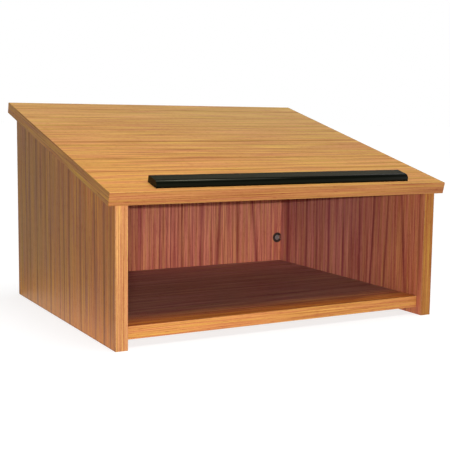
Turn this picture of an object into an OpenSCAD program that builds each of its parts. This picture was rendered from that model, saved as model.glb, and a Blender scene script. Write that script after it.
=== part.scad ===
// Slant-top tabletop stand for an open album or book.
// A cabinet of five edge-banded boards, open towards the reader: two sides, a back, a
// shelf inside and a sloping top with a moulded stop along its lower edge. The boards are
// held by dowels and by twelve cam connectors, so that the stand comes apart.
// Millimetres. Origin at the bottom centre, +X to the reader's right, +Y away from the
// reader, +Z up.

/* [Cabinet] */
// Width over the two side panels
body_w = 577; // [400:1:800]
// Depth of the side panels, from front edge to rear edge
body_d = 475; // [460:1:600]
// Height of the side panels at their front edge
front_h = 210; // [160:1:260]
// Height of the side panels at their rear edge
back_h = 332; // [320:1:420]
// Thickness of every board
board = 19; // [18:0.5:22]
// Gap between the table and the shelf and back panel
floor_gap = 12.5; // [2:0.5:30]
// Set-back of the shelf's front edge from the side panels' front edges
shelf_inset = 13.5; // [5:0.5:25]
// Set-back of the back panel's outer face from the side panels' rear edges
back_inset = 6; // [0:0.5:15]
// Thickness of the edge bands
band = 1; // [0.5:0.1:2]

/* [Reading top] */
// Width of the top
top_w = 603; // [577:1:900]
// Length of the top along its slope
top_l = 508; // [495:1:600]

/* [Stop] */
// Length of the stop
stop_l = 457; // [400:1:560]
// Width of the stop, up the slope
stop_w = 30.5; // [22:0.5:40]
// Height of the stop above the top
stop_h = 10.5; // [9:0.5:20]
// Radius along the stop's upper front edge
stop_front_r = 8; // [3:0.5:8]
// Radius along the stop's upper rear edge
stop_rear_r = 1.5; // [1:0.5:8]
// Distance from the top's front edge to the stop
stop_inset = 13.5; // [5:0.5:60]
// Offset of the stop from the stand's centre line
stop_shift = 3; // [-10:0.5:10]
// Distance between the outer two of the stop's three screws
stop_screw_span = 380; // [200:5:390]

/* [Connectors] */
// Diameter of a connector's plastic housing
housing_d = 20; // [19:0.5:21]
// Depth of the housing in the board
housing_depth = 14.7; // [14.7:0.1:15.5]
// Diameter of the housing's flange
flange_d = 21; // [21:0.5:24]
// Height of the flange above the board
flange_t = 0.7; // [0.4:0.1:1.5]
// Distance from the housing's centre to the edge of its board
edge_dist = 9.5; // [9:0.1:9.9]
// Diameter of the cam
cam_d = 10.4; // [10:0.1:11]
// Diameter of the bolt's ball head
ball_d = 6; // [5:0.1:6]
// Diameter of the bolt's neck
neck_d = 3.8; // [3:0.1:4]
// Diameter of the bolt's collar
collar_d = 7.6; // [7:0.1:7.6]
// Outer diameter of the bolt's thread
thread_d = 6.2; // [5:0.1:7]
// Length of thread in the facing board
thread_l = 12; // [10:0.5:14]
// Heights of the back panel's connectors above the table
back_fix_z = [80, 272]; // [60:1:280]
// Distances of the shelf's connectors from the side panels' front edges
shelf_fix_y = [64, 384]; // [45:1:420]
// Distances of the top's connectors up the slope from the side panels' front edges
top_fix_s = [60, 410]; // [40:1:430]

/* [Dowels] */
// Diameter of a dowel
dowel_d = 8; // [6:1:10]
// Depth of a dowel's hole in the edge of a board
dowel_edge = 18; // [12:1:25]
// Depth of a dowel's hole in the face of a board
dowel_face = 12; // [8:1:14]
// Distances of the top's dowels up the slope
top_dowel_s = [120, 350]; // [90:1:380]
// Heights of the back panel's dowels
back_dowel_z = [112, 240]; // [105:1:245]
// Distances of the shelf's side dowels from the side panels' front edges
shelf_dowel_y = [96, 352]; // [90:1:358]
// Positions of the dowels between the shelf and the back panel, across the stand
rear_dowel_x = [-200, 0, 200]; // [-220:1:220]

/* [Hidden] */
$fn = 64;
SIDES = [-1, 1];

// Slope of the top, and where it starts
slope = atan((back_h - front_h) / body_d);
front_y = -body_d / 2;
overhang = (top_l * cos(slope) + board * sin(slope) - body_d) / 2;
top_start = (board * sin(slope) - overhang) / cos(slope);
stop_start = top_start + stop_inset;

// Planes of the boards
inner_w = body_w - 2 * board;
back_y = body_d / 2 - back_inset - board;
back_mid_y = back_y + board / 2;
shelf_y = front_y + shelf_inset;
shelf_mid_z = floor_gap + board / 2;

// Clearances: a fitted piece in its hole, a turning piece in its bore, the end of a hole
fit_gap = 0.05;
turn_gap = 0.08;
end_gap = 0.5;
cut = 1;

// Cam, in the frame of its seat: z = 0 on the board's face, +X towards the facing board
axis_z = -board / 2;
cam_top = 0.3;
cam_cavity_r = 3.9;
cam_cavity_h = 6.4;
cam_floor = 1;
cam_lobe = 0.6;
cam_slot = neck_d + 0.8;
cam_entry_d = ball_d + 0.8;
cam_bottom = axis_z - cam_cavity_h / 2 - cam_floor;
cam_chamfer = 0.3;
recess_w = 1.1;
recess_l = 6.4;
recess_depth = 2.4;
mark_d = 1.2;
mark_depth = 0.4;

// Housing
bore_d = cam_d + 2 * turn_gap;
mouth_w = 8;
housing_chamfer = 1;
flange_chamfer = 0.3;

// Bolt: ball centre, collar and thread along the seat's +X
ball_x = 0.7;
collar_l = 2;
collar_chamfer = 0.4;
thread_pitch = 2;
thread_root = 0.6;
thread_lead = 1;

// Dowel
flute_d = 0.8;
flutes = 16;
dowel_chamfer = 1;

// Stop screw: a countersunk wood screw driven from below
screw_d = 4;
screw_head_d = 8;
screw_head_h = 2.4;
screw_l = 25;
screw_pitch = 1.6;
screw_root = 0.6;
screw_tip = 4;
screw_recess = 1.6;
stop_screw_x = [for (i = [-1:1]) stop_shift + i * stop_screw_span / 2];
stop_screw_s = stop_start + stop_w / 2;

// A connector seat is [joint, side, place]
SEATS = [for (joint = ["back", "shelf", "top"], side = SIDES, place = [0, 1]) [joint, side, place]];
PLACE_NAMES = [["low", "high"], ["front", "rear"]];
function seat_name(seat) =
    str(seat[0], seat[1] < 0 ? "_left_" : "_right_", PLACE_NAMES[seat[0] == "back" ? 0 : 1][seat[2]]);

// Height of the side panels' sloping edge at y
function edge_z(y) = front_h + (y - front_y) * tan(slope);

// ---- Frames ----

// Frame of the slope: y runs up it from the side panels' front edges, z is 0 at the top's underside
module on_slope() {
    translate([0, front_y, front_h]) rotate([slope, 0, 0]) children();
}

// Frame of one connector seat
module at_seat(seat) {
    joint = seat[0];
    side = seat[1];
    turn = side < 0 ? 180 : 0;
    seat_x = side * (inner_w / 2 - edge_dist);
    if (joint == "back")
        translate([seat_x, back_y, back_fix_z[seat[2]]]) rotate([90, 0, 0]) rotate([0, 0, turn]) children();
    if (joint == "shelf")
        translate([seat_x, front_y + shelf_fix_y[seat[2]], floor_gap])
            rotate([180, 0, 0]) rotate([0, 0, turn]) children();
    if (joint == "top")
        on_slope() translate([side * inner_w / 2, top_fix_s[seat[2]], -edge_dist])
            rotate([0, 0, turn]) rotate([0, -90, 0]) children();
}

// All the seats of one joint, on the given sides
module at_seats(joint, sides = SIDES) {
    for (seat = SEATS, side = sides) if (seat[0] == joint && seat[1] == side) at_seat(seat) children();
}

// Frames of the dowels of one joint: z = 0 between the two boards, +Z into a board's face
module at_dowels(joint, sides = SIDES) {
    if (joint == "top")
        for (side = sides, s = top_dowel_s)
            on_slope() translate([side * (inner_w + board) / 2, s, 0]) children();
    if (joint == "back")
        for (side = sides, z = back_dowel_z)
            translate([side * inner_w / 2, back_mid_y, z]) rotate([0, 90 * side, 0]) children();
    if (joint == "shelf")
        for (side = sides, y = shelf_dowel_y)
            translate([side * inner_w / 2, front_y + y, shelf_mid_z]) rotate([0, 90 * side, 0]) children();
    if (joint == "rear")
        for (x = rear_dowel_x) translate([x, back_y, shelf_mid_z]) rotate([-90, 0, 0]) children();
}

module at_stop_screws() {
    for (x = stop_screw_x) on_slope() translate([x, stop_screw_s, 0]) children();
}

// ---- Boards ----

// Upright slab from y0 to y1 and from z0 up to the sloping edge
module slope_slab(x0, thickness, y0, y1, z0) {
    translate([x0, 0, 0]) rotate([90, 0, 90]) linear_extrude(thickness)
        polygon([[y0, z0], [y1, z0], [y1, edge_z(y1)], [y0, edge_z(y0)]]);
}

function side_x(side) = side < 0 ? -body_w / 2 : body_w / 2 - board;

module side_panel(side) {
    color("peru") difference() {
        slope_slab(side_x(side), board, front_y + band, -front_y - band, 0);
        at_seats("top", [side]) housing_hole();
        at_seats("back", [side]) thread_hole();
        at_seats("shelf", [side]) thread_hole();
        at_dowels("top", [side]) dowel_hole();
        at_dowels("back", [side]) dowel_hole();
        at_dowels("shelf", [side]) dowel_hole();
    }
}

module side_front_band(side) {
    color("chocolate") slope_slab(side_x(side), board, front_y, front_y + band, 0);
}

module side_rear_band(side) {
    color("chocolate") slope_slab(side_x(side), board, -front_y - band, -front_y, 0);
}

module back_panel() {
    color("sienna") difference() {
        slope_slab(-inner_w / 2, inner_w, back_y, back_y + board, floor_gap);
        at_seats("back") housing_hole();
        at_dowels("back") dowel_hole();
        at_dowels("rear") dowel_hole();
    }
}

module shelf() {
    color("saddlebrown") difference() {
        translate([-inner_w / 2, shelf_y + band, floor_gap])
            cube([inner_w, back_y - shelf_y - band, board]);
        at_seats("shelf") housing_hole();
        at_dowels("shelf") dowel_hole();
        at_dowels("rear") dowel_hole();
    }
}

module shelf_band() {
    color("chocolate") translate([-inner_w / 2, shelf_y, floor_gap]) cube([inner_w, band, board]);
}

module reading_top() {
    color("burlywood") difference() {
        on_slope() translate([band - top_w / 2, top_start + band, 0])
            cube([top_w - 2 * band, top_l - 2 * band, board]);
        at_seats("top") thread_hole();
        at_dowels("top") dowel_hole();
        at_stop_screws() screw_clearance();
    }
}

// Bands on the top's front and rear edges run its whole width; those on its ends fit between them
module top_long_band(s) {
    color("chocolate") on_slope() translate([-top_w / 2, s, 0]) cube([top_w, band, board]);
}

module top_end_band(x) {
    color("chocolate") on_slope() translate([x, top_start + band, 0]) cube([band, top_l - 2 * band, board]);
}

// ---- Stop ----

// A rounded upper corner, as the piece that it takes away from a square one
module corner_cut(r) {
    difference() {
        translate([-cut, 0]) square([r + cut, r + cut]);
        translate([r, 0]) circle(r);
    }
}

module stop_outline() {
    difference() {
        square([stop_w, stop_h]);
        translate([0, stop_h - stop_front_r]) corner_cut(stop_front_r);
        translate([stop_w, stop_h - stop_rear_r]) mirror([1, 0]) corner_cut(stop_rear_r);
    }
}

module stop() {
    color([0.1, 0.1, 0.1]) difference() {
        on_slope() translate([stop_shift - stop_l / 2, stop_start, board])
            rotate([90, 0, 90]) linear_extrude(stop_l) stop_outline();
        at_stop_screws() screw_pilot();
    }
}

module screw_clearance() {
    translate([0, 0, -cut]) cylinder(h = board + 2 * cut, d = screw_d + 2 * fit_gap);
    cylinder(h = screw_head_h, d1 = screw_head_d + 2 * fit_gap, d2 = screw_d + 2 * fit_gap);
}

module screw_pilot() {
    translate([0, 0, board - cut])
        cylinder(h = screw_l - board + cut + end_gap, d = screw_d + 2 * fit_gap);
}

// Crossed slots of a screwdriver recess, cut down from z = 0
module cross_recess(length, depth) {
    for (turn = [45, 135]) rotate([0, 0, turn]) translate([-length / 2, -recess_w / 2, -depth])
        cube([length, recess_w, depth + cut]);
}

// A thread as rings around z, as the points of its outline from z0 to z1
function thread_points(z0, z1, d, root, pitch) = [
    for (z = [z0:pitch:z1 - pitch], step = [0, 1])
        [d / 2 - (step == 0 ? root : 0), z + step * pitch / 2]
];

module stop_screws() {
    thread_end = screw_l - screw_tip;
    outline = concat(
        [[0, 0], [screw_head_d / 2, 0], [screw_d / 2 - screw_root, screw_head_h]],
        thread_points(screw_head_h + screw_pitch, thread_end, screw_d, screw_root, screw_pitch),
        [[screw_d / 2 - screw_root, thread_end], [0, screw_l]]
    );
    color("silver") at_stop_screws() difference() {
        rotate_extrude() polygon(outline);
        rotate([180, 0, 0]) cross_recess(screw_head_d / 2, screw_recess);
    }
}

// ---- Dowels ----

module dowel() {
    low = end_gap - dowel_edge;
    high = dowel_face - end_gap;
    r = dowel_d / 2;
    outline = [
        [0, low], [r - dowel_chamfer, low], [r, low + dowel_chamfer],
        [r, high - dowel_chamfer], [r - dowel_chamfer, high], [0, high]
    ];
    color("wheat") difference() {
        rotate_extrude() polygon(outline);
        for (i = [1:flutes]) rotate([0, 0, i * 360 / flutes]) translate([r, 0, low - cut])
            cylinder(h = high - low + 2 * cut, d = flute_d);
    }
}

module dowel_hole() {
    translate([0, 0, -dowel_edge]) cylinder(h = dowel_edge + dowel_face, d = dowel_d + 2 * fit_gap);
}

// ---- Connectors, in the frame of their seat ----

// The housing's hole in a board, and the bolt's way in from the board's edge
module housing_hole() {
    translate([0, 0, -housing_depth - fit_gap])
        cylinder(h = housing_depth + fit_gap + cut, d = housing_d + 2 * fit_gap);
    translate([0, 0, axis_z]) rotate([0, 90, 0]) cylinder(h = edge_dist + fit_gap, d = mouth_w);
}

// The bolt's threaded hole in the facing board
module thread_hole() {
    translate([edge_dist - fit_gap, 0, axis_z]) rotate([0, 90, 0])
        cylinder(h = thread_l + end_gap + fit_gap, d = thread_d + 2 * fit_gap);
}

module housing() {
    r = housing_d / 2;
    flange_r = flange_d / 2;
    outline = [
        [0, -housing_depth], [r - housing_chamfer, -housing_depth], [r, housing_chamfer - housing_depth],
        [r, 0], [flange_r, 0], [flange_r, flange_t - flange_chamfer],
        [flange_r - flange_chamfer, flange_t], [0, flange_t]
    ];
    color([0.12, 0.11, 0.1]) difference() {
        rotate_extrude() polygon(outline);
        // The cam's bore
        translate([0, 0, cam_bottom - turn_gap]) cylinder(h = -cam_bottom + turn_gap + flange_t + cut, d = bore_d);
        // The mouth that the bolt lies in, open to the board's face
        translate([0, 0, axis_z]) rotate([0, 90, 0]) cylinder(h = housing_d, d = mouth_w);
        translate([0, -mouth_w / 2, axis_z]) cube([housing_d, mouth_w, flange_t - axis_z + cut]);
        // Cut flush with the edge of the board
        translate([edge_dist, -flange_d, -housing_depth - cut])
            cube([flange_d, 2 * flange_d, housing_depth + flange_t + 2 * cut]);
    }
}

// Locked as drawn. The slot lets the neck past through half a turn, and the entry opposite
// it takes the ball in when the cam is turned back.
module cam() {
    r = cam_d / 2;
    outline = [
        [0, cam_bottom], [r, cam_bottom], [r, cam_top - cam_chamfer], [r - cam_chamfer, cam_top], [0, cam_top]
    ];
    color("silver") difference() {
        rotate_extrude() polygon(outline);
        // The cavity's wall pulls on the ball as the lobe turns away from the mouth
        for (x = [0, -cam_lobe]) translate([x, 0, axis_z - cam_cavity_h / 2])
            cylinder(h = cam_cavity_h, r = cam_cavity_r);
        translate([-cam_d, -cam_d, axis_z - cam_slot / 2]) cube([2 * cam_d, cam_d + cam_slot / 2, cam_slot]);
        translate([-cam_d, 0, axis_z]) rotate([0, 90, 0]) cylinder(h = cam_d, d = cam_entry_d);
        translate([0, 0, cam_top]) cross_recess(recess_l, recess_depth);
        translate([(cam_d + recess_l) / 4, 0, cam_top - mark_depth]) cylinder(h = mark_depth + cut, d = mark_d);
    }
}

module bolt() {
    ball_r = ball_d / 2;
    neck_angle = acos(neck_d / ball_d);
    start = edge_dist - collar_l;
    end = edge_dist + thread_l;
    tip_r = thread_d / 2 - thread_root;
    outline = concat(
        [[0, ball_x - ball_r]],
        [for (angle = [-75:15:45]) [ball_r * cos(angle), ball_x + ball_r * sin(angle)]],
        [
            [neck_d / 2, ball_x + ball_r * sin(neck_angle)], [neck_d / 2, start],
            [collar_d / 2 - collar_chamfer, start], [collar_d / 2, start + collar_chamfer],
            [collar_d / 2, edge_dist]
        ],
        thread_points(edge_dist, end - thread_lead, thread_d, thread_root, thread_pitch),
        [[tip_r, end - thread_lead], [tip_r - thread_root, end], [0, end]]
    );
    color("lightgray") translate([0, 0, axis_z]) rotate([0, 90, 0]) rotate_extrude() polygon(outline);
}

// ---- Nodes ----

side_panel(-1);  // left_side
side_panel(1);  // right_side
back_panel();
shelf();
reading_top();
side_front_band(-1);  // left_front_band
side_rear_band(-1);  // left_rear_band
side_front_band(1);  // right_front_band
side_rear_band(1);  // right_rear_band
shelf_band();
top_long_band(top_start);  // top_front_band
top_long_band(top_start + top_l - band);  // top_rear_band
top_end_band(-top_w / 2);  // top_left_band
top_end_band(top_w / 2 - band);  // top_right_band
stop();
stop_screws();
at_dowels("back") dowel();  // side_to_back_dowels
at_dowels("shelf") dowel();  // side_to_shelf_dowels
at_dowels("top") dowel();  // side_to_top_dowels
at_dowels("rear") dowel();  // shelf_to_back_dowels
at_seats("back") bolt();  // back_bolts
at_seats("shelf") bolt();  // shelf_bolts
at_seats("top") bolt();  // top_bolts
for (seat = SEATS) {
    at_seat(seat) housing();
    at_seat(seat) cam();
}
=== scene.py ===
# Looks for the slant-top tabletop stand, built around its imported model.
# Metres, in the model's frame: +X to the reader's right, +Y away from the reader, +Z up.
import math

import bpy
from mathutils import Matrix, Vector


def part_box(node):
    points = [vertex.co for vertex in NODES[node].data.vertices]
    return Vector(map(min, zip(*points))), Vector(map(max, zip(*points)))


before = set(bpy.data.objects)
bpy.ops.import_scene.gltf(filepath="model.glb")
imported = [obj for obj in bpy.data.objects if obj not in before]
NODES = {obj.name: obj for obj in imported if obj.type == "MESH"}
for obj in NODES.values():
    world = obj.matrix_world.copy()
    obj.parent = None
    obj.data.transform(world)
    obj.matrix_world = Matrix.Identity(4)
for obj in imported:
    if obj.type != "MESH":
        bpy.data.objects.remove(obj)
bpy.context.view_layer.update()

X = Vector((1, 0, 0))
Y = Vector((0, 1, 0))
Z = Vector((0, 0, 1))
MM = 0.001

# ---- Camera ----

VIEW_AZIMUTH = math.radians(-28.9)
VIEW_ELEVATION = math.radians(6.77)
VIEW_ROLL = math.radians(0.7)
VIEW_DISTANCE = 1.6356
VIEW_TARGET = Vector((0.0166, 0, 0.141))
LENS = 73.52


def direction(azimuth, elevation):
    """Unit vector from the stand towards a place seen at that azimuth and elevation."""
    flat = math.cos(elevation)
    return Vector((math.sin(azimuth) * flat, -math.cos(azimuth) * flat, math.sin(elevation)))


def make_camera():
    back = direction(VIEW_AZIMUTH, VIEW_ELEVATION)
    right = Vector((math.cos(VIEW_AZIMUTH), math.sin(VIEW_AZIMUTH), 0))
    turned = Matrix((right, back.cross(right), back)).transposed() @ Matrix.Rotation(VIEW_ROLL, 3, "Z")
    camera = bpy.data.objects.new("camera", bpy.data.cameras.new("camera"))
    camera.matrix_world = Matrix.Translation(VIEW_TARGET + back * VIEW_DISTANCE) @ turned.to_4x4()
    camera.data.lens = LENS
    bpy.context.collection.objects.link(camera)
    bpy.context.scene.camera = camera


# ---- Material graphs ----


class Graph:
    """One material and short names for the nodes that it is made of."""

    def __init__(self, name):
        self.material = bpy.data.materials.new(name)
        self.material.use_nodes = True
        self.nodes = self.material.node_tree.nodes
        self.links = self.material.node_tree.links
        self.nodes.clear()
        self.shader = self.add("ShaderNodeBsdfPrincipled")
        output = self.add("ShaderNodeOutputMaterial")
        self.put(output.inputs["Surface"], self.shader.outputs["BSDF"])

    def add(self, kind, **settings):
        node = self.nodes.new(kind)
        for key, value in settings.items():
            setattr(node, key, value)
        return node

    def put(self, socket, value):
        if isinstance(value, bpy.types.NodeSocket):
            self.links.new(value, socket)
        else:
            socket.default_value = value

    def fill(self, node, *values):
        for socket, value in zip(node.inputs, values):
            self.put(socket, value)
        return node

    def set(self, **inputs):
        """Values or sockets for the shader's inputs, such as base_color."""
        for key, value in inputs.items():
            name = " ".join(word[0].upper() + word[1:] for word in key.split("_"))
            self.put(self.shader.inputs[name], value)

    def math(self, operation, *values, clamp=False):
        node = self.add("ShaderNodeMath", operation=operation, use_clamp=clamp)
        return self.fill(node, *values).outputs[0]

    def around(self, value, width, middle):
        """A value that averages 0.5, made to vary by that width around the middle."""
        return self.math("MULTIPLY_ADD", self.math("SUBTRACT", value, 0.5), width, middle)

    def dot(self, vector, axis):
        node = self.add("ShaderNodeVectorMath", operation="DOT_PRODUCT")
        return self.fill(node, vector, axis).outputs["Value"]

    def vector(self, x, y, z):
        return self.fill(self.add("ShaderNodeCombineXYZ"), x, y, z).outputs[0]

    def ramp(self, value, low, high, to_low=0.0, to_high=1.0):
        """Smooth step from to_low at low to to_high at high."""
        node = self.add("ShaderNodeMapRange", interpolation_type="SMOOTHSTEP")
        return self.fill(node, value, low, high, to_low, to_high).outputs[0]

    def mix(self, factor, a, b, blend="MIX"):
        node = self.add("ShaderNodeMix", data_type="RGBA", blend_type=blend)
        self.put(node.inputs[0], factor)
        for socket, value in zip(node.inputs[6:8], (a, b)):
            self.put(socket, value if isinstance(value, bpy.types.NodeSocket) else (*value, 1))
        return node.outputs[2]

    def noise(self, vector, scale=1.0, detail=2.0, roughness=0.5):
        node = self.add("ShaderNodeTexNoise")
        self.put(node.inputs["Vector"], vector)
        self.put(node.inputs["Scale"], scale)
        self.put(node.inputs["Detail"], detail)
        self.put(node.inputs["Roughness"], roughness)
        return node.outputs[0]

    def object_place(self):
        return self.add("ShaderNodeTexCoord").outputs["Object"]

    def bump(self, height, distance):
        node = self.add("ShaderNodeBump")
        node.inputs["Strength"].default_value = 1.0
        node.inputs["Distance"].default_value = distance
        self.put(node.inputs["Height"], height)
        self.put(self.shader.inputs["Normal"], node.outputs[0])


# ---- Wood-grain laminate ----

# Extent along the grain and width across it of each kind of figure, in metres
SWAY_SIZE = (0.3, 0.07)
RIPPLE_SIZE = (22 * MM, 11 * MM)
FINE_SIZE = (0.13, 2.4 * MM)
MEDIUM_SIZE = (0.2, 5 * MM)
COARSE_SIZE = (0.5, 13 * MM)
BROAD_SIZE = (0.7, 0.12)
FADING_SIZE = (0.16, 16 * MM)
PORE_SIZE = (14 * MM, 0.7 * MM)
HUE_SIZE = (0.18, 7 * MM)
SPECKLE_SIZE = 1.6 * MM
RIPPLE_WIDTH = 1.6 * MM

# How much each kind of figure changes the mix of pale and dark or the brightness
FINE_CONTRAST = 0.34
MEDIUM_CONTRAST = 0.2
COARSE_CONTRAST = 0.8
BROAD_CONTRAST = 0.2
SPECKLE_CONTRAST = 0.2
PORE_CONTRAST = -0.28

# Tints of the redder and the yellower streaks
HUES = ((1.02, 0.95, 1.09), (0.98, 1.05, 0.90))

LAMINATE_SHINE = 0.07
LAMINATE_RELIEF = 0.06 * MM
CHIPS_PER_METRE = 420


def lines(graph, along, across, size, seed, detail=2.0, scale=1.0):
    """Noise drawn out along the grain: features of that (length, width), 0.5 on average."""
    length, width = size[0], size[1] * scale
    stretched = graph.vector(
        graph.math("DIVIDE", along, length), graph.math("DIVIDE", across, width), seed
    )
    return graph.noise(stretched, detail=detail)


def growth_lines(graph, along, across, marks):
    """Dark bands along the grain with soft edges. A mark is (place mm, width mm, strength, lean)."""
    total = 0.0
    for place, width, strength, lean in marks:
        centre = graph.math("MULTIPLY_ADD", along, lean, place * MM)
        gap = graph.math("ABSOLUTE", graph.math("SUBTRACT", across, centre))
        core = graph.ramp(gap, 0.1 * width * MM, 0.65 * width * MM, 0.6 * strength, 0.0)
        halo = graph.ramp(gap, 0.2 * width * MM, 1.7 * width * MM, 0.4 * strength, 0.0)
        total = graph.math("MAXIMUM", total, graph.math("ADD", core, halo))
    return total


def chipboard(graph, place):
    """Colour of the boards' cores, which shows on cut edges and in holes."""
    chips = graph.add("ShaderNodeTexVoronoi")
    graph.put(chips.inputs["Vector"], place)
    chips.inputs["Scale"].default_value = CHIPS_PER_METRE
    shade = graph.dot(chips.outputs["Color"], (0.4, 0.35, 0.25))
    return graph.mix(graph.ramp(shade, 0.2, 0.8), (0.36, 0.22, 0.11), (0.62, 0.45, 0.26))


def laminate(
    name, grain, cross, inward, start, marks, tones, seed,
    wave=2.0, streaks=1.0, scale=1.0, painted_light=(), painted_light_inside=True, core=True,
):
    """Oak-patterned laminate on a chipboard core.

    grain and cross are unit vectors along and across the figure, inward points into the cabinet,
    start is where the marks are measured from, and tones are the outer and the inner face's
    (pale, dark) colours, which for most boards are darker, redder copies of the laminate as painted
    shade.
    wave is the sway of the figure in mm, streaks the contrast of its streaks and scale their width,
    1 on a board. Each entry of painted_light is an axis, two places on it and the tints at those, a
    painted gradient of light and shade, of the inner face if painted_light_inside and else of the outer
    one.
    Without core the cut edges are wood-coloured too.
    """
    graph = Graph(name)
    place = graph.object_place()
    normal = graph.add("ShaderNodeNewGeometry").outputs["True Normal"]
    along = graph.dot(place, grain)
    across = graph.math("SUBTRACT", graph.dot(place, cross), start)

    sway = lines(graph, along, across, SWAY_SIZE, seed, 1.0)
    ripple = lines(graph, along, across, RIPPLE_SIZE, seed + 7, 1.0)
    swayed = graph.around(sway, 2 * wave * MM, across)
    swayed = graph.around(ripple, RIPPLE_WIDTH * scale, swayed)
    fine = graph.ramp(lines(graph, along, swayed, FINE_SIZE, seed + 1, scale=scale), 0.38, 0.62)
    medium = graph.ramp(lines(graph, along, swayed, MEDIUM_SIZE, seed + 2, scale=scale), 0.38, 0.62)
    coarse = lines(graph, along, swayed, COARSE_SIZE, seed + 3, scale=scale)
    broad = lines(graph, along, across, BROAD_SIZE, seed + 4, 1.0)
    fading = lines(graph, along, across, FADING_SIZE, seed + 5, 1.0)
    pores = lines(graph, along, swayed, PORE_SIZE, seed + 6, 1.0)
    hue = graph.ramp(lines(graph, along, swayed, HUE_SIZE, seed + 8, scale=scale), 0.38, 0.62)

    bands = growth_lines(graph, along, swayed, marks)
    bands = graph.math("MULTIPLY", bands, graph.ramp(fading, 0.3, 0.6, 0.65, 1.0))
    tint = graph.around(coarse, COARSE_CONTRAST * streaks, 0.18)
    amount = graph.math("MAXIMUM", bands, tint, clamp=True)

    facing = graph.dot(normal, inward)
    is_inner = graph.math("GREATER_THAN", facing, 0.5)
    is_face = graph.math("GREATER_THAN", graph.math("ABSOLUTE", facing), 0.5)
    # Inner faces take the inner tones, which for most boards are a darker, redder copy of the laminate:
    # painted shade
    outer, inner = tones
    pale = graph.mix(is_inner, outer[0], inner[0])
    dark = graph.mix(is_inner, outer[1], inner[1])
    wood = graph.mix(amount, pale, dark)
    shade = graph.around(fine, FINE_CONTRAST * streaks, 1.0)
    shade = graph.around(medium, MEDIUM_CONTRAST * streaks, shade)
    shade = graph.around(broad, BROAD_CONTRAST, shade)
    pore = graph.ramp(pores, 0.6, 0.72)
    speckle = graph.noise(place, 1 / SPECKLE_SIZE, 1.0)
    shade = graph.math("MULTIPLY_ADD", pore, PORE_CONTRAST, shade)
    shade = graph.around(speckle, SPECKLE_CONTRAST, shade)
    # Darker wood is redder: green and blue fall faster than red
    green = graph.math("MULTIPLY_ADD", shade, 1.7, -0.7)
    blue = graph.math("MULTIPLY_ADD", shade, 1.4, -0.4)
    wood = graph.mix(1.0, wood, graph.vector(shade, green, blue), "MULTIPLY")
    wood = graph.mix(1.0, wood, graph.mix(hue, *HUES), "MULTIPLY")
    # Painted light and shade: tints that change along an axis across the face, standing in for how the
    # light falls on it
    painted_light_faces = is_inner if painted_light_inside else graph.math("SUBTRACT", 1.0, is_inner)
    for axis, low, high, low_tint, high_tint in painted_light:
        painted_light_tint = graph.mix(graph.ramp(graph.dot(place, axis), low, high), low_tint, high_tint)
        wood = graph.mix(painted_light_faces, wood, painted_light_tint, "MULTIPLY")

    graph.set(base_color=graph.mix(is_face, chipboard(graph, place), wood) if core else wood)
    rough = graph.math("MULTIPLY_ADD", fine, 0.16, 0.42)
    rough = graph.math("MULTIPLY_ADD", pore, 0.2, rough)
    graph.set(roughness=graph.math("ADD", rough, graph.math("MULTIPLY_ADD", is_face, -0.3, 0.3)))
    graph.set(specular_IOR_level=LAMINATE_SHINE)
    graph.bump(graph.math("MULTIPLY_ADD", pore, -1.0, fine), LAMINATE_RELIEF)
    return graph.material


# Colours of the laminate as (pale, dark). The top's outer tone is the lit one; the side boards' outer
# tone and the inner tones of the boards, the right side and the shelf are darker, redder copies of the
# same laminate: painted shade.
TOP_OUTER = ((0.70, 0.352, 0.109), (0.425, 0.168, 0.034))
SIDE_OUTER_SHADED = ((0.268, 0.103, 0.018), (0.112, 0.031, 0.004))
INNER_SHADED = ((0.60, 0.21, 0.12), (0.27, 0.055, 0.05))
RIGHT_INNER_SHADED = ((0.45, 0.155, 0.09), (0.20, 0.04, 0.037))
SHELF_INNER_SHADED = ((0.42, 0.17, 0.09), (0.22, 0.06, 0.045))
BAND = ((0.48, 0.20, 0.06), (0.36, 0.13, 0.032))

# The bands' narrow figure, and their and the stop's rounded edges
BAND_WAVE = 0.4
BAND_SCALE = 0.42
BAND_ROUNDING = 0.45 * MM
STOP_ROUNDING = 0.8 * MM

# Growth lines of each board: place in mm, width in mm, strength, lean
LEFT_MARKS = [
    (19, 6, 0.75, 0), (44, 8, 0.85, 0), (78, 5, 0.9, 0.02), (120, 6, 0.65, 0), (141, 7, 0.85, 0.01),
    (193, 7, 1.0, 0), (218, 6, 0.85, 0), (241, 6, 0.65, 0), (286, 7, 0.9, 0), (312, 6, 0.85, 0),
    (338, 7, 0.8, 0), (361, 7, 1.0, 0), (401, 7, 0.9, 0), (422, 6, 0.8, 0),
]
RIGHT_MARKS = [
    (12, 6, 0.8, 0), (42, 7, 0.9, 0.09), (105, 7, 0.8, -0.04), (145, 7, 0.8, -0.05),
    (175, 6, 0.8, 0.02), (203, 5, 0.7, 0), (229, 6, 0.7, 0), (250, 5, 0.6, 0), (276, 7, 0.8, 0),
    (318, 6, 0.7, 0), (354, 7, 0.8, 0), (391, 6, 0.7, 0), (423, 14, 0.9, 0),
]
BACK_MARKS = [
    (-220, 6, 0.7, 0), (-176, 7, 0.9, 0.02), (-131, 6, 0.8, 0), (-92, 8, 0.8, 0),
    (-54.5, 6, 0.8, 0), (-13, 4, 0.8, 0), (-5, 2.5, 0.6, 0), (3, 3, 0.75, 0), (11, 3, 0.75, 0),
    (19, 2.5, 0.6, 0), (27, 3.5, 0.8, 0), (36, 4, 0.85, 0), (59, 6, 0.8, 0),
    (80.5, 10, 0.85, 0), (116, 7, 0.85, 0.04), (164, 7, 0.75, 0), (213, 7, 0.8, -0.09),
    (245, 5, 0.5, 0),
]
SHELF_MARKS = [
    (20, 6, 0.5, 0), (52, 7, 0.7, 0), (90, 6, 0.6, 0.01), (131, 8, 0.8, 0), (170, 6, 0.6, 0),
    (214, 7, 0.7, -0.01), (262, 6, 0.7, 0), (300, 7, 0.8, 0), (345, 6, 0.6, 0), (392, 7, 0.7, 0),
]
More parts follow.
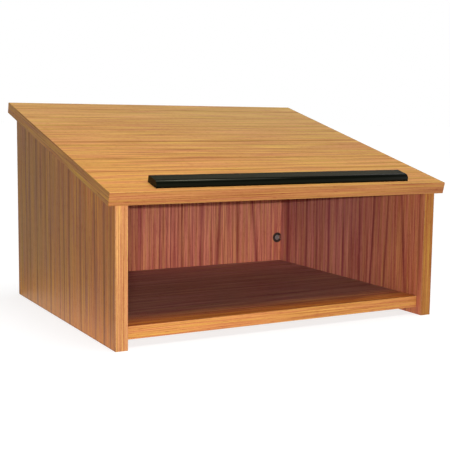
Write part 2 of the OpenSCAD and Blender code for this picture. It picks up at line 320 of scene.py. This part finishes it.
TOP_MARKS = [
    (25, 5, 0.45, 0), (55, 5, 0.52, 0), (93, 6, 0.9, 0), (113, 5, 0.6, 0), (138, 5, 0.6, 0),
    (155, 6, 0.9, 0), (178, 5, 0.52, 0), (205, 5, 0.6, 0), (230, 5, 0.68, 0), (253, 7, 0.98, 0.012),
    (293, 5, 0.68, 0), (323, 5, 0.6, 0), (349, 6, 0.75, 0), (375, 5, 0.6, 0), (405, 5, 0.75, 0),
    (465, 6, 0.83, 0),
]


def give(node, material):
    """The CAD node gets that material."""
    NODES[node].data.materials.clear()
    NODES[node].data.materials.append(material)


def soften(node, width):
    """Rounds the edges of the CAD node by that width."""
    welded = NODES[node].modifiers.new("weld", "WELD")
    welded.merge_threshold = 0.01 * MM
    rounded = NODES[node].modifiers.new("rounded_edges", "BEVEL")
    rounded.width = width
    rounded.segments = 2
    rounded.angle_limit = math.radians(40)
    rounded.harden_normals = True


def finish_boards():
    front_lo, front_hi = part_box("left_front_band")
    rear_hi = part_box("left_rear_band")[1]
    slope = math.atan2(rear_hi.z - front_hi.z, rear_hi.y - front_hi.y)
    up_slope = Vector((0, math.cos(slope), math.sin(slope)))
    off_top = Vector((0, -math.sin(slope), math.cos(slope)))
    board = front_hi.x - front_lo.x
    top_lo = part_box("reading_top")[0]
    top_start = (top_lo.y + board * math.sin(slope)) * up_slope.y + top_lo.z * up_slope.z
    side_start = front_lo.y
    shelf_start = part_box("shelf_band")[1].y
    top_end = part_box("top_rear_band")[1].y
    side = (SIDE_OUTER_SHADED, INNER_SHADED)
    right = (SIDE_OUTER_SHADED, RIGHT_INNER_SHADED)
    # Painted light on the shelf's top: a painted pool of light, redder and brighter, along its front
    # edge, then painted shade, getting lighter and bluer towards the back and the right
    shelf_painted_light = [
        (Y, shelf_start, shelf_start + 90 * MM, (1.38, 1.07, 0.33), (0.84, 1.0, 1.35)),
        (Y, 0, 200 * MM, (0.92, 0.98, 0.97), (1.2, 1.26, 1.42)),
        (X, -50 * MM, 250 * MM, (0.97, 0.95, 0.95), (1.05, 1.1, 1.12)),
    ]
    # Painted sheen on the top: less red and bluer towards the rear, and painted light falling off
    # towards the right
    top_painted_light = [
        (Y, top_lo.y, top_end, (1.04, 0.98, 0.88), (0.94, 1.02, 1.15)),
        (X, -250 * MM, 200 * MM, (1.0, 0.99, 0.98), (0.96, 1.02, 1.07)),
    ]
    # Painted light on the left side's outer face: lighter and redder at the front, and a painted warm
    # bounce along the bottom
    left_painted_light = [
        (Y, side_start, -side_start, (1.06, 0.99, 0.96), (0.89, 1.0, 1.04)),
        (Z, 0, 100 * MM, (1.06, 0.96, 0.40), (0.98, 1.0, 1.04)),
    ]
    # Painted light and shade on the right side's inner face: warmer near the front edge, darker then
    # lighter and bluer going back, lighter low down and darker under the top
    right_painted_light = [
        (Y, side_start, 0, (1.06, 1.08, 0.80), (0.98, 0.98, 1.06)),
        (Y, side_start + 60 * MM, side_start + 340 * MM, (0.88, 0.87, 0.90), (1.17, 1.27, 1.40)),
        (Z, 40 * MM, 170 * MM, (1.12, 1.12, 1.06), (0.92, 0.93, 0.96)),
    ]
    # Painted light on the back panel's inner face: lighter and greener towards the right, slightly
    # darker towards the top
    back_painted_light = [
        (X, -100 * MM, 150 * MM, (0.98, 0.98, 0.96), (1.06, 1.14, 1.11)),
        (Z, 60 * MM, 150 * MM, (1.03, 1.0, 1.0), (0.95, 0.98, 1.0)),
    ]
    give("left_side", laminate(
        "left_side_laminate", Z, Y, X, side_start, LEFT_MARKS, side, 11,
        painted_light=left_painted_light, painted_light_inside=False,
    ))
    give("right_side", laminate(
        "right_side_laminate", Z, Y, -X, side_start, RIGHT_MARKS, right, 23,
        streaks=0.85, painted_light=right_painted_light,
    ))
    give("back_panel", laminate(
        "back_laminate", Z, X, -Y, 0, BACK_MARKS, side, 37, streaks=0.95, painted_light=back_painted_light,
    ))
    give("shelf", laminate(
        "shelf_laminate", X, Y, Z, side_start, SHELF_MARKS, (SIDE_OUTER_SHADED, SHELF_INNER_SHADED), 41,
        streaks=1.4, painted_light=shelf_painted_light,
    ))
    give("reading_top", laminate(
        "top_laminate", X, up_slope, -off_top, top_start, TOP_MARKS, (TOP_OUTER, INNER_SHADED), 53,
        wave=5.0, streaks=0.7, painted_light=top_painted_light, painted_light_inside=False,
    ))
    # Each band's last value is a tint on the band tone. The left front band's lighter, bluer tint and
    # the right front band's darker one are painted light falling off from left to right; the top's
    # front band and side bands are darker as painted shade
    bands = [
        ("left_front_band", Z, X, -Y, (0.92, 1.0, 1.21)),
        ("right_front_band", Z, X, -Y, (0.70, 0.69, 0.53)),
        ("left_rear_band", Z, X, Y, (0.9, 0.9, 0.9)),
        ("right_rear_band", Z, X, Y, (0.9, 0.9, 0.9)),
        ("shelf_band", X, Z, -Y, (1.02, 1.03, 0.97)),
        ("top_front_band", X, off_top, -up_slope, (0.735, 0.73, 0.755)),
        ("top_rear_band", X, off_top, up_slope, (0.8, 0.8, 0.8)),
        ("top_left_band", up_slope, off_top, -X, (0.57, 0.62, 0.36)),
        ("top_right_band", up_slope, off_top, X, (0.57, 0.62, 0.36)),
    ]
    for number, (node, grain, cross, outward, tint) in enumerate(bands):
        tone = [tuple(c * t for c, t in zip(color, tint)) for color in BAND]
        streaks = 0.95 if grain == X else 1.3
        give(node, laminate(
            node + "_laminate", grain, cross, outward, 0, [], (tone, tone), 60 + 7 * number,
            wave=BAND_WAVE, streaks=streaks, scale=BAND_SCALE, core=False,
        ))
        soften(node, BAND_ROUNDING)


# ---- Plastics, metals and beech ----


def moulded(name, color, roughness, specular, tint, grain_size, depth):
    """Injection-moulded plastic with a fine texture."""
    graph = Graph(name)
    place = graph.object_place()
    texture = graph.noise(place, 1 / grain_size, 3.0)
    cloud = graph.noise(place, 40, 2.0)
    light = [1.35 * c for c in color]
    graph.set(base_color=graph.mix(cloud, color, light))
    graph.set(roughness=graph.math("MULTIPLY_ADD", texture, 0.16, roughness - 0.08))
    graph.set(specular_IOR_level=specular, specular_tint=(*tint, 1))
    graph.bump(texture, depth)
    return graph.material


def metal(name, color, roughness, mottle, depth):
    """Metal with mottled brightness and roughness."""
    graph = Graph(name)
    place = graph.object_place()
    spots = graph.noise(place, mottle, 3.0, 0.6)
    dull = [0.62 * c for c in color]
    graph.set(base_color=graph.mix(graph.ramp(spots, 0.3, 0.7), dull, color), metallic=1.0)
    graph.set(roughness=graph.math("MULTIPLY_ADD", spots, 0.3, roughness - 0.15))
    graph.bump(spots, depth)
    return graph.material


def beech():
    """Straight-grained beech with short dark flecks."""
    graph = Graph("beech_wood")
    place = graph.object_place()
    grain = graph.noise(graph.vector(*[
        graph.math("MULTIPLY", graph.dot(place, axis), rate)
        for axis, rate in ((X, 160), (Y, 900), (Z, 900))
    ]), detail=3.0)
    flecks = graph.ramp(graph.noise(place, 700, 1.0), 0.6, 0.68)
    wood = graph.mix(grain, (0.52, 0.33, 0.17), (0.74, 0.53, 0.31))
    graph.set(base_color=graph.mix(flecks, wood, (0.36, 0.20, 0.09)))
    graph.set(roughness=graph.math("MULTIPLY_ADD", grain, 0.2, 0.5))
    graph.bump(grain, 0.05 * MM)
    return graph.material


def finish_fittings():
    stop_plastic = moulded(
        "black_stop_plastic", (0.002, 0.0025, 0.0015), 0.22, 0.065, (1, 0.98, 0.6), 0.6 * MM, 0.01 * MM
    )
    housing_plastic = moulded(
        "housing_nylon", (0.030, 0.020, 0.016), 0.5, 0.5, (1, 1, 1), 0.4 * MM, 0.02 * MM
    )
    zinc = metal("cast_zinc_metal", (0.60, 0.61, 0.61), 0.6, 900, 0.02 * MM)
    steel = metal("plated_steel_metal", (0.62, 0.61, 0.58), 0.3, 1500, 0.01 * MM)
    wood = beech()
    give("stop", stop_plastic)
    soften("stop", STOP_ROUNDING)
    for node in NODES:
        if node.endswith("_housing"):
            give(node, housing_plastic)
        if node.endswith("_cam"):
            give(node, zinc)
        if node.endswith(("_bolts", "_screws")):
            give(node, steel)
        if node.endswith("_dowels"):
            give(node, wood)


# ---- Floor and light ----

FLOOR_SIZE = 60
FLOOR_GREY = 0.35
FLOOR_GLOW = 0.74
HORIZON_TOP = math.radians(13)
HORIZON_FADE = math.radians(26)
HORIZON_WHITE = 1.0
CEILING_GREY = 0.08

# Places as azimuth and elevation in degrees and distance in metres; powers in watts
OVERHEAD = (50, 77)
OVERHEAD_STRENGTH = 2.0
OVERHEAD_ANGLE = math.radians(44)
FLASH = (-28.9, 7.4, VIEW_DISTANCE)
FLASH_SIZE = (0.12, 0.01)
FLASH_POWER = 16.5
REAR = (151, 36, 3.0)
SHEEN = (151, 36, 2.7)
REAR_SIZE = (2.0, 1.2)
REAR_POWER = 3.0
SHEEN_POWER = 1.6
GLINT = (16, 78, 1.8)
GLINT_SIZE = (0.4, 0.4)
GLINT_POWER = 14
CARD_SIZE = (0.07, 0.46)
CARD_POWER = 0.16


def make_floor():
    bpy.ops.mesh.primitive_plane_add(size=FLOOR_SIZE)
    floor = bpy.context.active_object
    floor.name = "floor"
    graph = Graph("pale_floor")
    graph.set(base_color=(FLOOR_GREY, FLOOR_GREY, FLOOR_GREY, 1), roughness=0.9, specular_IOR_level=0.0)
    graph.set(emission_color=(1, 1, 1, 1), emission_strength=FLOOR_GLOW)
    floor.data.materials.append(graph.material)


def make_world():
    """A studio that is white around the horizon and dim overhead."""
    world = bpy.data.worlds.new("studio")
    world.use_nodes = True
    tree = world.node_tree
    place = tree.nodes.new("ShaderNodeTexCoord")
    height = tree.nodes.new("ShaderNodeSeparateXYZ")
    fade = tree.nodes.new("ShaderNodeMapRange")
    fade.interpolation_type = "SMOOTHSTEP"
    limits = (math.sin(HORIZON_TOP), math.sin(HORIZON_FADE), HORIZON_WHITE, CEILING_GREY)
    for socket, value in zip(fade.inputs[1:5], limits):
        socket.default_value = value
    tree.links.new(place.outputs["Generated"], height.inputs[0])
    tree.links.new(height.outputs["Z"], fade.inputs[0])
    tree.links.new(fade.outputs[0], tree.nodes["Background"].inputs["Strength"])
    tree.nodes["Background"].inputs["Color"].default_value = (1, 1, 1, 1)
    bpy.context.scene.world = world


def add_light(light, kind, azimuth, elevation, distance=4.0):
    lamp = bpy.data.objects.new(light, bpy.data.lights.new(light, kind))
    towards = direction(math.radians(azimuth), math.radians(elevation))
    lamp.matrix_world = Matrix.Translation(VIEW_TARGET + towards * distance) @ (
        towards.to_track_quat("Z", "Y").to_matrix().to_4x4()
    )
    bpy.context.collection.objects.link(lamp)
    return lamp


def add_softbox(light, azimuth, elevation, distance, size, power):
    lamp = add_light(light, "AREA", azimuth, elevation, distance)
    lamp.data.shape = "RECTANGLE"
    lamp.data.size, lamp.data.size_y = size
    lamp.data.energy = power
    lamp.visible_camera = False
    return lamp


def make_lights():
    overhead = add_light("overhead", "SUN", *OVERHEAD)
    overhead.data.energy = OVERHEAD_STRENGTH
    overhead.data.angle = OVERHEAD_ANGLE
    add_softbox("flash", *FLASH, FLASH_SIZE, FLASH_POWER)
    rear = add_softbox("rear_softbox", *REAR, REAR_SIZE, REAR_POWER)
    rear.visible_glossy = False
    # Small light that only shows as a glint along the stop's front edge
    glint = add_softbox("stop_glint", *GLINT, GLINT_SIZE, GLINT_POWER)
    glint.visible_diffuse = False
    # Dim warm one that only shows as the sheen on the stop's upper side
    sheen = add_softbox("stop_sheen", *SHEEN, REAR_SIZE, SHEEN_POWER)
    sheen.data.color = (1, 0.9, 0.45)
    sheen.visible_diffuse = False
    # White card on the table beside the left panel, which lights that panel's lower edge
    card = add_softbox("table_card", 0, 0, 0, CARD_SIZE, CARD_POWER)
    card_place = Vector((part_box("left_side")[0].x - CARD_SIZE[0] / 2, 0, MM))
    card.matrix_world = Matrix.Translation(card_place) @ Matrix.Rotation(math.pi, 4, "X")


make_camera()
finish_boards()
finish_fittings()
make_floor()
make_world()
make_lights()
bpy.context.scene.view_settings.view_transform = "Standard"
